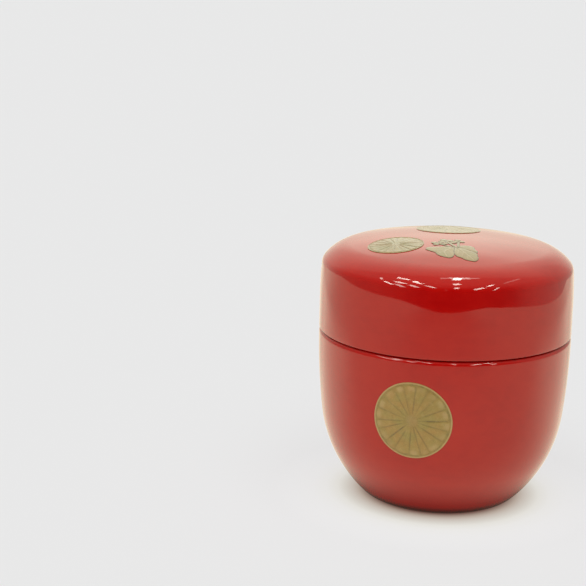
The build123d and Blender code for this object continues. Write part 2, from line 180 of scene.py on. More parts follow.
lid_start = (R_OUT, Z_SEAM + LID_RELIEF + LID_EDGE)
lid_segments = [("line", LID_LINE, 0)] + [("arc", s, t) for s, t in LID_ARCS]
_, lid_end, lid_heading = tangent_chain(lid_start, 90, lid_segments)
dome_turn = 180 - lid_heading
LID_DOME = lid_end[0] / sin(radians(dome_turn))
lid_chain, lid_top, _ = tangent_chain(
    lid_start, 90, lid_segments + [("arc", LID_DOME, dome_turn)]
)
Z_TOP = lid_top[1]
LID_IN = RIM_OUT + LID_CLEAR
EDGE_TOP = Z_SEAM + 0.35
SEAT_IN = LID_IN + 0.2
ceiling = Z_TOP - LID_CEILING_T
dome_c = ceiling - LID_IN_DOME
lid_c_r = LID_IN - LID_IN_SHOULDER
lid_c_z = dome_c + sqrt((LID_IN_DOME - LID_IN_SHOULDER) ** 2 - lid_c_r**2)
lid_in_a = degrees(atan2(lid_c_z - dome_c, lid_c_r))


def bowl(t):
    """Inside of the body from the axis up to the foot of the rim, moved into the wall by t."""
    out = span((0, FLOOR_Z - t), (corner_c[0], FLOOR_Z - t), 0.9)
    out += arc(corner_c, BOWL_R + t, -90, corner_a, 22)
    out += arc(belly_c, BODY_R2 - WALL_T + t, corner_a, belly_a0, 24)
    out += trace(body_chain[:1], WALL_T - t, 0.8, back=True)
    return out


def lid_hollow(t, low_z):
    """Inside of the lid from height low_z up its skirt and over to the axis, moved into the wood by t."""
    out = span((LID_IN + t, low_z), (LID_IN + t, lid_c_z), 0.9)
    out += arc((lid_c_r, lid_c_z), LID_IN_SHOULDER + t, 0, lid_in_a, 20)
    out += arc((0, dome_c), LID_IN_DOME + t, lid_in_a, 90, 30)
    return out


# ------------------------------------------------------------ nodes for materials
def tree(name):
    m = bpy.data.materials.new(name)
    m.use_nodes = True
    nodes = m.node_tree.nodes
    shader = nodes["Principled BSDF"]
    return m, m.node_tree, shader


class Graph:
    """Short ways to add and wire nodes."""

    def __init__(self, nt):
        self.nt = nt

    def add(self, kind, **props):
        n = self.nt.nodes.new(kind)
        for k, v in props.items():
            setattr(n, k, v)
        return n

    def wire(self, a, b):
        self.nt.links.new(a, b)

    def put(self, socket, value):
        if hasattr(value, "is_output"):
            self.wire(value, socket)
        else:
            socket.default_value = value

    def math(self, op, a, b=None, c=None, clamp=False):
        n = self.add("ShaderNodeMath", operation=op, use_clamp=clamp)
        for i, v in enumerate((a, b, c)):
            if v is not None:
                self.put(n.inputs[i], v)
        return n.outputs[0]

    def coords(self):
        return self.add("ShaderNodeTexCoord").outputs["Object"]

    def scaled(self, vector, scale, location=(0, 0, 0)):
        n = self.add("ShaderNodeMapping")
        self.wire(vector, n.inputs["Vector"])
        n.inputs["Scale"].default_value = scale
        n.inputs["Location"].default_value = location
        return n.outputs[0]

    def noise(self, vector, scale, detail=3.0, rough=0.5, distortion=0.0):
        n = self.add("ShaderNodeTexNoise")
        self.wire(vector, n.inputs["Vector"])
        n.inputs["Scale"].default_value = scale
        n.inputs["Detail"].default_value = detail
        n.inputs["Roughness"].default_value = rough
        n.inputs["Distortion"].default_value = distortion
        return n.outputs["Fac"]

    def voronoi(self, vector, scale, feature="F1", randomness=1.0):
        n = self.add("ShaderNodeTexVoronoi", feature=feature)
        self.wire(vector, n.inputs["Vector"])
        n.inputs["Scale"].default_value = scale
        n.inputs["Randomness"].default_value = randomness
        return n.outputs["Distance"]

    def remap(self, value, a, b, c, d, smooth=False):
        n = self.add("ShaderNodeMapRange")
        n.interpolation_type = "SMOOTHSTEP" if smooth else "LINEAR"
        n.clamp = True
        self.wire(value, n.inputs["Value"])
        for key, v in (("From Min", a), ("From Max", b), ("To Min", c), ("To Max", d)):
            n.inputs[key].default_value = v
        return n.outputs["Result"]

    def ramp(self, value, stops):
        n = self.add("ShaderNodeValToRGB")
        self.wire(value, n.inputs[0])
        e = n.color_ramp.elements
        e[0].position, e[0].color = stops[0][0], (*stops[0][1], 1)
        e[1].position, e[1].color = stops[-1][0], (*stops[-1][1], 1)
        for p, c in stops[1:-1]:
            k = e.new(p)
            k.color = (*c, 1)
        return n.outputs[0]

    def mix(self, fac, a, b, blend="MIX"):
        n = self.add("ShaderNodeMix", data_type="RGBA", blend_type=blend)
        self.put(n.inputs["Factor"], fac)
        for key, v in (("A", a), ("B", b)):
            socket = [s for s in n.inputs if s.name == key and s.type == "RGBA"][0]
            self.put(socket, v if hasattr(v, "is_output") else (*v, 1))
        return [s for s in n.outputs if s.type == "RGBA"][0]

    def bump(self, height, strength, distance, normal=None):
        n = self.add("ShaderNodeBump")
        self.wire(height, n.inputs["Height"])
        n.inputs["Strength"].default_value = strength
        n.inputs["Distance"].default_value = distance
        if normal is not None:
            self.wire(normal, n.inputs["Normal"])
        return n.outputs[0]

    def attribute(self, name):
        n = self.add("ShaderNodeAttribute", attribute_name=name)
        return n.outputs["Fac"]

    def axial(self, vector):
        """Radius and height in metres."""
        n = self.add("ShaderNodeSeparateXYZ")
        self.wire(vector, n.inputs[0])
        x, y, z = n.outputs
        r = self.math("SQRT", self.math("ADD", self.math("MULTIPLY", x, x), self.math("MULTIPLY", y, y)))
        return r, z


# ------------------------------------------------------------ materials
def red_lacquer_material():
    m, nt, s = tree("red_lacquer")
    g = Graph(nt)
    p = g.coords()
    r, z = g.axial(p)
    slow = g.noise(p, 62.0, 2.0, 0.5)
    mid = g.noise(g.scaled(p, (1, 1, 1.6), (0.11, 0.03, 0.2)), 300.0, 3.0, 0.55)
    fine = g.noise(p, 5200.0, 1.0, 0.5)
    tone = g.math("ADD", g.math("MULTIPLY", slow, 0.55), g.math("MULTIPLY", mid, 0.45))
    base = g.ramp(
        tone,
        [
            (0.30, (0.470, 0.0026, 0.0026)),
            (0.48, (0.520, 0.0040, 0.0032)),
            (0.62, (0.540, 0.0060, 0.0034)),
            (0.74, (0.560, 0.0085, 0.0036)),
        ],
    )
    # pigment grains, just above what the eye resolves
    base = g.mix(g.remap(fine, 0.56, 0.78, 0.0, 0.16), base, (0.58, 0.012, 0.006))
    # rubbed edges: the lid's foot, the ledge and the body's foot
    wear_noise = g.noise(p, 700.0, 4.0, 0.65)
    near_seam = g.math(
        "MULTIPLY",
        g.remap(z, (Z_SEAM - 0.9) * MM, (Z_SEAM - 0.1) * MM, 0.0, 1.0, True),
        g.remap(z, (Z_SEAM + 0.3) * MM, (Z_SEAM + 0.9) * MM, 1.0, 0.0, True),
    )
    near_foot = g.remap(z, 0.1 * MM, 1.3 * MM, 1.0, 0.0, True)
    edge = g.math("MAXIMUM", near_seam, near_foot)
    worn = g.math("MULTIPLY", edge, g.remap(wear_noise, 0.50, 0.66, 0.0, 1.0, True))
    base = g.mix(g.math("MULTIPLY", worn, 0.45), base, (0.30, 0.012, 0.008))
    # painted shade: the red is darkened towards the foot for the floor's contact shadow, and near black in the lowest
    # few millimetres
    base = g.mix(g.remap(z, 1.5 * MM, 13.0 * MM, 0.64, 0.0, True), base, (0.230, 0.0020, 0.0018))
    base = g.mix(g.remap(z, 1.2 * MM, 3.4 * MM, 0.76, 0.0, True), base, (0.016, 0.0008, 0.0007))
    g.wire(base, s.inputs["Base Color"])
    # polish: nearly a mirror, a little softer in clouds and in hairlines round the piece
    cloud = g.noise(g.scaled(p, (1, 1, 1), (0.3, 0.1, 0.0)), 95.0, 2.0, 0.5)
    hair = g.noise(g.scaled(p, (240, 240, 9000)), 1.0, 2.0, 0.6, 0.4)
    rough = g.math("ADD", g.remap(cloud, 0.35, 0.70, 0.028, 0.048), g.remap(hair, 0.66, 0.80, 0.0, 0.035))
    rough = g.math("ADD", rough, g.math("MULTIPLY", worn, 0.16))
    g.wire(rough, s.inputs["Roughness"])
    # the coat was brushed on and rubbed level by hand
    level = g.noise(g.scaled(p, (1, 1, 1.3)), 85.0, 1.5, 0.45)
    brush = g.noise(g.scaled(p, (1, 1, 2.5)), 240.0, 1.0, 0.4)
    height = g.math("ADD", g.math("MULTIPLY", level, 0.88), g.math("MULTIPLY", brush, 0.12))
    g.wire(g.bump(height, 0.035, 0.00022), s.inputs["Normal"])
    s.inputs["IOR"].default_value = 1.54
    s.inputs["Specular Tint"].default_value = (1.0, 0.98, 0.93, 1.0)
    return m


def black_lacquer_material():
    m, nt, s = tree("black_lacquer")
    g = Graph(nt)
    p = g.coords()
    r, z = g.axial(p)
    cloud = g.noise(p, 140.0, 3.0, 0.55)
    base = g.ramp(
        cloud,
        [(0.30, (0.0060, 0.0050, 0.0052)), (0.55, (0.0105, 0.0085, 0.0082)), (0.75, (0.0170, 0.0110, 0.0090))],
    )
    edge_noise = g.noise(p, 800.0, 3.0, 0.6)
    lip = g.math(
        "MULTIPLY",
        g.remap(z, (Z_RIM - 0.7) * MM, (Z_RIM - 0.05) * MM, 0.0, 1.0, True),
        g.remap(z, (Z_RIM + 0.1) * MM, (Z_RIM + 0.3) * MM, 1.0, 0.0, True),
    )
    worn = g.math("MULTIPLY", lip, g.remap(edge_noise, 0.46, 0.64, 0.0, 1.0, True))
    base = g.mix(g.math("MULTIPLY", worn, 0.7), base, (0.055, 0.020, 0.012))
    g.wire(base, s.inputs["Base Color"])
    rings = g.noise(g.scaled(p, (20, 20, 3600)), 1.0, 2.0, 0.55, 0.2)
    rough = g.math("ADD", g.remap(cloud, 0.3, 0.7, 0.12, 0.20), g.remap(rings, 0.58, 0.80, 0.0, 0.08))
    rough = g.math("ADD", rough, g.math("MULTIPLY", worn, 0.15))
    g.wire(rough, s.inputs["Roughness"])
    turned = g.noise(g.scaled(p, (6, 6, 1500)), 1.0, 2.0, 0.5, 0.3)
    level = g.noise(p, 160.0, 2.0, 0.5)
    height = g.math("ADD", g.math("MULTIPLY", turned, 0.3), level)
    g.wire(g.bump(height, 0.14, 0.0002), s.inputs["Normal"])
    s.inputs["IOR"].default_value = 1.54
    return m


def base_lacquer_material():
    m, nt, s = tree("base_lacquer")
    g = Graph(nt)
    p = g.coords()
    r, z = g.axial(p)
    slow = g.noise(p, 90.0, 3.0, 0.55)
    base = g.ramp(
        slow,
        [(0.32, (0.40, 0.0032, 0.0030)), (0.52, (0.47, 0.0050, 0.0036)), (0.72, (0.52, 0.0090, 0.0045))],
    )
    spots = g.noise(p, 620.0, 5.0, 0.68)
    scuffs = g.noise(g.scaled(p, (420, 2600, 1), (0.4, 0.2, 0)), 1.0, 3.0, 0.6, 0.8)
    ring = g.remap(z, 0.02 * MM, 0.22 * MM, 1.0, 0.0, True)
    rubbed = g.math(
        "MULTIPLY", ring, g.math("MAXIMUM", g.remap(spots, 0.47, 0.62, 0.0, 1.0, True), g.remap(scuffs, 0.60, 0.72, 0.0, 0.8, True))
    )
    base = g.mix(rubbed, base, (0.085, 0.020, 0.014))
    dust = g.remap(g.noise(p, 260.0, 4.0, 0.6), 0.50, 0.75, 0.0, 0.10, True)
    base = g.mix(dust, base, (0.42, 0.30, 0.24))
    g.wire(base, s.inputs["Base Color"])
    rough = g.math("ADD", g.remap(slow, 0.3, 0.7, 0.10, 0.17), g.math("MULTIPLY", rubbed, 0.38))
    rough = g.math("ADD", rough, g.remap(scuffs, 0.60, 0.75, 0.0, 0.10))
    g.wire(rough, s.inputs["Roughness"])
    height = g.math("ADD", g.noise(p, 180.0, 2.0, 0.5), g.math("MULTIPLY", rubbed, -0.35))
    g.wire(g.bump(height, 0.18, 0.0002), s.inputs["Normal"])
    s.inputs["IOR"].default_value = 1.52
    return m


def gold_material():
    """Gold powder over low relief: bright on the raised petals, darker where it is sunk or sparse, with painted
    highlights and, on the crests, painted shade along the leaf edges.
    """
    m, nt, s = tree("gold_relief")
    g = Graph(nt)
    p = g.coords()
    tone = g.attribute("tone")
    pale_and_highlight = g.attribute("pale_and_highlight")
    cloud = g.noise(p, 260.0, 3.0, 0.6)
    patch = g.noise(g.scaled(p, (1, 1, 1), (0.07, 0.02, 0.05)), 900.0, 3.0, 0.6)
    grain = g.noise(p, 6500.0, 2.0, 0.6)
    base = g.ramp(
        tone,
        [
            (0.00, (0.075, 0.032, 0.010)),
            (0.10, (0.160, 0.095, 0.016)),
            (0.32, (0.262, 0.168, 0.024)),
            (0.62, (0.365, 0.232, 0.038)),
            (1.00, (0.440, 0.290, 0.058)),
        ],
    )
    warm = g.mix(g.remap(cloud, 0.36, 0.66, 0.0, 1.0), (1.10, 0.94, 0.86), (0.92, 1.03, 1.00))
    base = g.mix(1.0, base, warm, "MULTIPLY")
    base = g.mix(g.remap(patch, 0.50, 0.74, 0.0, 0.30), base, (0.530, 0.365, 0.110))
    base = g.mix(g.remap(patch, 0.46, 0.26, 0.0, 0.30), base, (0.220, 0.135, 0.022))
    # painted highlights on petal ends, vein ridges, bud tops and leaf edges, and the pale rim, from the pale attribute
    base = g.mix(g.math("MULTIPLY", pale_and_highlight, 0.75), base, (0.630, 0.415, 0.170))
    base = g.mix(g.remap(grain, 0.56, 0.72, 0.0, 0.35), base, (0.640, 0.470, 0.170))
    base = g.mix(g.remap(grain, 0.42, 0.28, 0.0, 0.35), base, (0.140, 0.080, 0.016))
    # the gold on the lid is darker than on the body: partly rubbed thinner by handling, partly painted shade against
    # the stronger light on the lid's top
    split = g.add("ShaderNodeSeparateXYZ")
    g.wire(p, split.inputs[0])
    rubbed = g.remap(split.outputs[2], 0.052, 0.060, 0.0, 0.95, True)
    base = g.mix(rubbed, base, g.mix(1.0, base, (0.66, 0.70, 0.80), "MULTIPLY"))
    g.wire(base, s.inputs["Base Color"])
    g.wire(g.remap(tone, 0.0, 1.0, 0.05, 0.20), s.inputs["Metallic"])
    g.wire(g.math("ADD", g.remap(grain, 0.3, 0.7, 0.38, 0.52), g.remap(tone, 0.0, 1.0, 0.08, 0.0)), s.inputs["Roughness"])
    powder = g.math("ADD", g.math("MULTIPLY", grain, 0.6), g.math("MULTIPLY", patch, 0.8))
    g.wire(g.bump(powder, 0.30, 0.00008), s.inputs["Normal"])
    s.inputs["IOR"].default_value = 1.5
    # the powder is sealed under a thin clear coat and polished with the lacquer
    s.inputs["Coat Weight"].default_value = 0.84
    s.inputs["Coat Roughness"].default_value = 0.14
    s.inputs["Coat IOR"].default_value = 1.5
    return m


def wood_material():
    m, nt, s = tree("turned_wood")
    g = Graph(nt)
    p = g.coords()
    bent = g.add("ShaderNodeTexNoise")
    g.wire(p, bent.inputs["Vector"])
    bent.inputs["Scale"].default_value = 35.0
    w = g.add("ShaderNodeTexWave", wave_type="RINGS", rings_direction="X")
    shifted = g.scaled(p, (1, 1, 0.15), (0.0, 0.03, 0.01))
    g.wire(shifted, w.inputs["Vector"])
    w.inputs["Scale"].default_value = 110.0
    w.inputs["Distortion"].default_value = 4.0
    w.inputs["Detail"].default_value = 3.0
    w.inputs["Detail Scale"].default_value = 30.0
    pores = g.noise(g.scaled(p, (2600, 2600, 120)), 1.0, 2.0, 0.6)
    base = g.ramp(
        w.outputs["Fac"],
        [(0.0, (0.36, 0.22, 0.115)), (0.45, (0.50, 0.335, 0.185)), (1.0, (0.62, 0.45, 0.27))],
    )
    base = g.mix(g.remap(pores, 0.58, 0.74, 0.0, 0.5), base, (0.24, 0.135, 0.065))
    g.wire(base, s.inputs["Base Color"])
    g.wire(g.remap(pores, 0.3, 0.7, 0.50, 0.68), s.inputs["Roughness"])
    g.wire(g.bump(g.math("ADD", pores, w.outputs["Fac"]), 0.25, 0.00006), s.inputs["Normal"])
    return m


def hemp_material():
    m, nt, s = tree("hemp_cloth")
    g = Graph(nt)
    p = g.coords()
    n = g.add("ShaderNodeSeparateXYZ")
    g.wire(p, n.inputs[0])
    x, y, z = n.outputs
    # warp runs up, weft runs round; on the flat disc they run along x and y
    angle = g.math("MULTIPLY", g.math("ARCTAN2", y, x), 0.032)
    lift = g.math("ADD", z, g.math("MULTIPLY", y, 0.6))
    a = g.math("SINE", g.math("MULTIPLY", angle, 2 * pi / 0.00085))
    b = g.math("SINE", g.math("MULTIPLY", lift, 2 * pi / 0.00085))
    over = g.math("MULTIPLY", a, b)
    slub = g.noise(p, 900.0, 3.0, 0.6)
    tone = g.math("ADD", g.math("MULTIPLY", over, 0.25), slub)
    base = g.ramp(tone, [(0.25, (0.20, 0.13, 0.075)), (0.55, (0.38, 0.30, 0.20)), (0.85, (0.55, 0.46, 0.33))])
    g.wire(base, s.inputs["Base Color"])
    g.wire(g.remap(slub, 0.3, 0.7, 0.62, 0.82), s.inputs["Roughness"])
    g.wire(g.bump(tone, 0.5, 0.00015), s.inputs["Normal"])
    return m


def ground_material():
    m, nt, s = tree("ground_coat")
    g = Graph(nt)
    p = g.coords()
    grit = g.noise(p, 4200.0, 3.0, 0.6)
    cloud = g.noise(p, 160.0, 3.0, 0.55)
    cells = g.voronoi(p, 2600.0)
    tone = g.math("ADD", g.math("MULTIPLY", grit, 0.5), g.math("MULTIPLY", cloud, 0.5))
    base = g.ramp(tone, [(0.32, (0.070, 0.052, 0.042)), (0.52, (0.120, 0.090, 0.070)), (0.72, (0.190, 0.140, 0.105))])
    base = g.mix(g.remap(cells, 0.0, 0.25, 0.35, 0.0), base, (0.28, 0.22, 0.17))
    g.wire(base, s.inputs["Base Color"])
    g.wire(g.remap(grit, 0.3, 0.7, 0.70, 0.88), s.inputs["Roughness"])
    g.wire(g.bump(grit, 0.4, 0.00008), s.inputs["Normal"])
    return m


RED = red_lacquer_material()
BLACK = black_lacquer_material()
BASE = base_lacquer_material()
GOLD = gold_material()
WOOD = wood_material()
HEMP = hemp_material()
GROUND = ground_material()

for node, material in (
    ("body_core", WOOD), ("lid_core", WOOD),
    ("body_mouth_cloth", HEMP), ("lid_mouth_cloth", HEMP), ("base_cloth", HEMP),
    ("body_ground_coat", GROUND), ("lid_ground_coat", GROUND),
):
    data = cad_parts[node].data
    data.materials.clear()
    data.materials.append(material)


# ------------------------------------------------------------ turned shells
def place(name, verts, faces, material, body, nodes, sharp=32.0):
    mesh = bpy.data.meshes.new(name)
    mesh.from_pydata([(x * MM, y * MM, z * MM) for x, y, z in verts], [], faces)
    mesh.validate()
    mesh.update()
    mesh.materials.append(material)
    obj = bpy.data.objects.new(name, mesh)
    scene.collection.objects.link(obj)
    mesh.shade_smooth()
    mesh.set_sharp_from_angle(angle=radians(sharp))
    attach(obj, body)
    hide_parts(*nodes)
    return obj


def lathe(name, loop, material, body, nodes, segments=288, sharp=32.0):
    """Closed shell turned round Z from a closed (r, z) loop, given so that the material is on its left."""
    points = []
    for r, z in loop:
        if not points or hypot(points[-1][0] - r, points[-1][1] - z) > 1e-4:
            points.append((max(r, 0.0), z))
    if hypot(points[0][0] - points[-1][0], points[0][1] - points[-1][1]) <= 1e-4:
        points.pop()
    area = sum(
        points[i - 1][0] * points[i][1] - points[i][0] * points[i - 1][1] for i in range(len(points))
    )
    if area < 0:
        points.reverse()
    verts, first = [], []
    for r, z in points:
        first.append((len(verts), r < 1e-5))
        if r < 1e-5:
            verts.append((0.0, 0.0, z))
        else:
            for k in range(segments):
                a = 2 * pi * k / segments
                verts.append((r * cos(a), r * sin(a), z))
    faces = []
    for i in range(len(points)):
        (a, pole_a), (b, pole_b) = first[i], first[(i + 1) % len(points)]
        if pole_a and pole_b:
            continue
        for k in range(segments):
            n = (k + 1) % segments
            if pole_a:
                faces.append((a, b + n, b + k))
            elif pole_b:
                faces.append((a + k, a + n, b))
            else:
                faces.append((a + k, a + n, b + n, b + k))
    return place(name, verts, faces, material, body, nodes, sharp)


edge_c = (SEAT_R, WALL_TOP)
lathe(
    "body_red_coat",
    arc(edge_c, EDGE_ROUND, 90, 0, 12)
    + trace(body_chain, 0.0)
    + [(FOOT_OUT, 0.0), (FOOT_OUT, RED_T)]
    + trace(body_chain, RED_T, 1.2, back=True)
    + arc(edge_c, EDGE_ROUND - RED_T, 0, 90, 8)
    + [(SEAT_R, Z_SEAM)],
    RED, "body", ["body_red_lacquer"],
)

top = Z_RIM - (RIM_OUT - RIM_IN) / 2
rim_mid = (RIM_OUT + RIM_IN) / 2
rim_half = (RIM_OUT - RIM_IN) / 2
outside = (
    bowl(0.0)
    + span((RIM_IN, WALL_TOP), (RIM_IN, top), 0.9)
    + arc((rim_mid, top), rim_half, 180, 0, 16)
    + span((RIM_OUT, top), (RIM_OUT, Z_SEAM + 0.18), 0.9)
    + arc((RIM_OUT + 0.18, Z_SEAM + 0.18), 0.18, 180, 270, 5)
    + [(SEAT_R, Z_SEAM)]
)
inside = (
    bowl(BLACK_T)
    + span((RIM_IN + BLACK_T, WALL_TOP), (RIM_IN + BLACK_T, top), 1.5)
    + arc((rim_mid, top), rim_half - BLACK_T, 180, 0, 8)
    + span((RIM_OUT - BLACK_T, top), (RIM_OUT - BLACK_T, Z_SEAM - BLACK_T), 1.5)
    + [(SEAT_R, Z_SEAM - BLACK_T)]
)
lathe(
    "body_black_coat", outside + inside[::-1],
    BLACK, "body", ["body_black_lacquer"],
)

CLOTH_Z = RECESS_H + BASE_T
lathe(
    "base_coat",
    [(FOOT_OUT, SKIN_T), (FOOT_OUT, 0.0)]
    + span((FOOT_OUT, 0.0), (FOOT_IN, 0.0), 0.5)
    + arc((FOOT_IN, 0.5), 0.5, -90, -180, 8)
    + arc((RECESS_R, 0.5), RECESS_H - 0.5, 0, 90, 8)
    + span((RECESS_R, RECESS_H), (0.0, RECESS_H), 1.2)
    + [(0.0, CLOTH_Z), (RECESS_R, CLOTH_Z), (FOOT_IN + 0.2, BASE_T)],
    BASE, "body", ["base_lacquer"],
)

foot_p = (R_OUT - LID_EDGE, Z_SEAM + LID_RELIEF)
lathe(
    "lid_red_coat",
    [(SEAT_R, Z_SEAM), foot_p]
    + arc((R_OUT - LID_EDGE, lid_start[1]), LID_EDGE, -90, 0, 8)
    + trace(lid_chain, 0.0)
    + trace(lid_chain, RED_T, 1.2, back=True)
    + [(R_OUT - RED_T, EDGE_TOP), (SEAT_R, EDGE_TOP)],
    RED, "lid", ["lid_red_lacquer"],
)
lathe(
    "lid_black_coat",
    [(SEAT_R, EDGE_TOP), (SEAT_R, Z_SEAM), (SEAT_IN, Z_SEAM), (LID_IN, Z_SEAM + 0.2)]
    + lid_hollow(0.0, Z_SEAM + 0.2)
    + lid_hollow(BLACK_T, EDGE_TOP)[::-1],
    BLACK, "lid", ["lid_black_lacquer"],
)


# ------------------------------------------------------------ gold ornaments
SINK = 0.05  # the relief starts this far inside the red coat


def belly_frame(azimuth, z):
    """Plane on the belly at that azimuth and height, facing straight out, local y upwards."""
    a = asin((z - belly_c[1]) / BODY_R2)
    r = belly_c[0] + BODY_R2 * cos(a)
    az = radians(azimuth)
    out = Vector((sin(az) * cos(a), -cos(az) * cos(a), sin(a)))
    side = Vector((cos(az), sin(az), 0))
    return Vector((r * sin(az), -r * cos(az), z)), side, out.cross(side), out


def wall_centre(z):
    c1 = body_chain[0][1]
    return (c1, BODY_R1) if z > at(body_chain[0], 0, 1)[1] else (belly_c, BODY_R2)


def on_belly(plane):
    origin, side, upward, out = plane

    def place_at(x, y, h):
        base = origin + side * x + upward * y
        t = 0.0
        for _ in range(8):
            p = base + out * t
            c, k = wall_centre(p.z)
            rho = hypot(p.x, p.y)
            t -= (hypot(rho - c[0], p.z - c[1]) - k) / max(0.2, out.dot(
                Vector(((rho - c[0]) / k * p.x / rho, (rho - c[0]) / k * p.y / rho, (p.z - c[1]) / k))
            ))
        p = base + out * t
        c, k = wall_centre(p.z)
        rho = hypot(p.x, p.y)
        n = Vector(((rho - c[0]) * p.x / rho, (rho - c[0]) * p.y / rho, p.z - c[1])).normalized()
        return p + n * h

    return place_at


DOME_C = lid_chain[4][1]


def on_lid(cx, cy, turned=0.0):
    ct, st = cos(radians(turned)), sin(radians(turned))

    def place_at(x, y, h):
        px, py = cx + x * ct - y * st, cy + x * st + y * ct
        c = Vector((0.0, 0.0, DOME_C[1]))
        p = Vector((px, py, DOME_C[1] + sqrt(LID_DOME**2 - px * px - py * py)))
        return p + (p - c).normalized() * h

    return place_at


def smooth(a, b, x):
    t = min(1.0, max(0.0, (x - a) / (b - a)))
    return t * t * (3 - 2 * t)


def relief(name, points, tris, where, body, nodes, turned=0.0):
    """Closed relief from flat points (x, y, height, tone, paleness with painted highlights) and their triangles or
    quads.
    """
    n = len(points)
    verts = [where(x, y, h) for x, y, h, _, _ in points]
    verts += [where(x, y, -SINK) for x, y, _, _, _ in points]
    faces = [tuple(f) for f in tris] + [tuple(n + i for i in reversed(f)) for f in tris]
    seen = {}
    for f in tris:
        for i in range(len(f)):
            a, b = f[i], f[(i + 1) % len(f)]
            seen[(a, b)] = seen.get((a, b), 0) + 1
    for a, b in seen:
        if (b, a) not in seen:
            faces.append((b, a, n + a, n + b))
    obj = place(name, [tuple(v) for v in verts], faces, GOLD, body, nodes, 50.0)
    mesh = obj.data
    for key, column in (("tone", 3), ("pale_and_highlight", 4)):
        layer = mesh.attributes.new(key, "FLOAT", "POINT")
        values = [q[column] for q in points] * 2
        layer.data.foreach_set("value", values)
    return obj


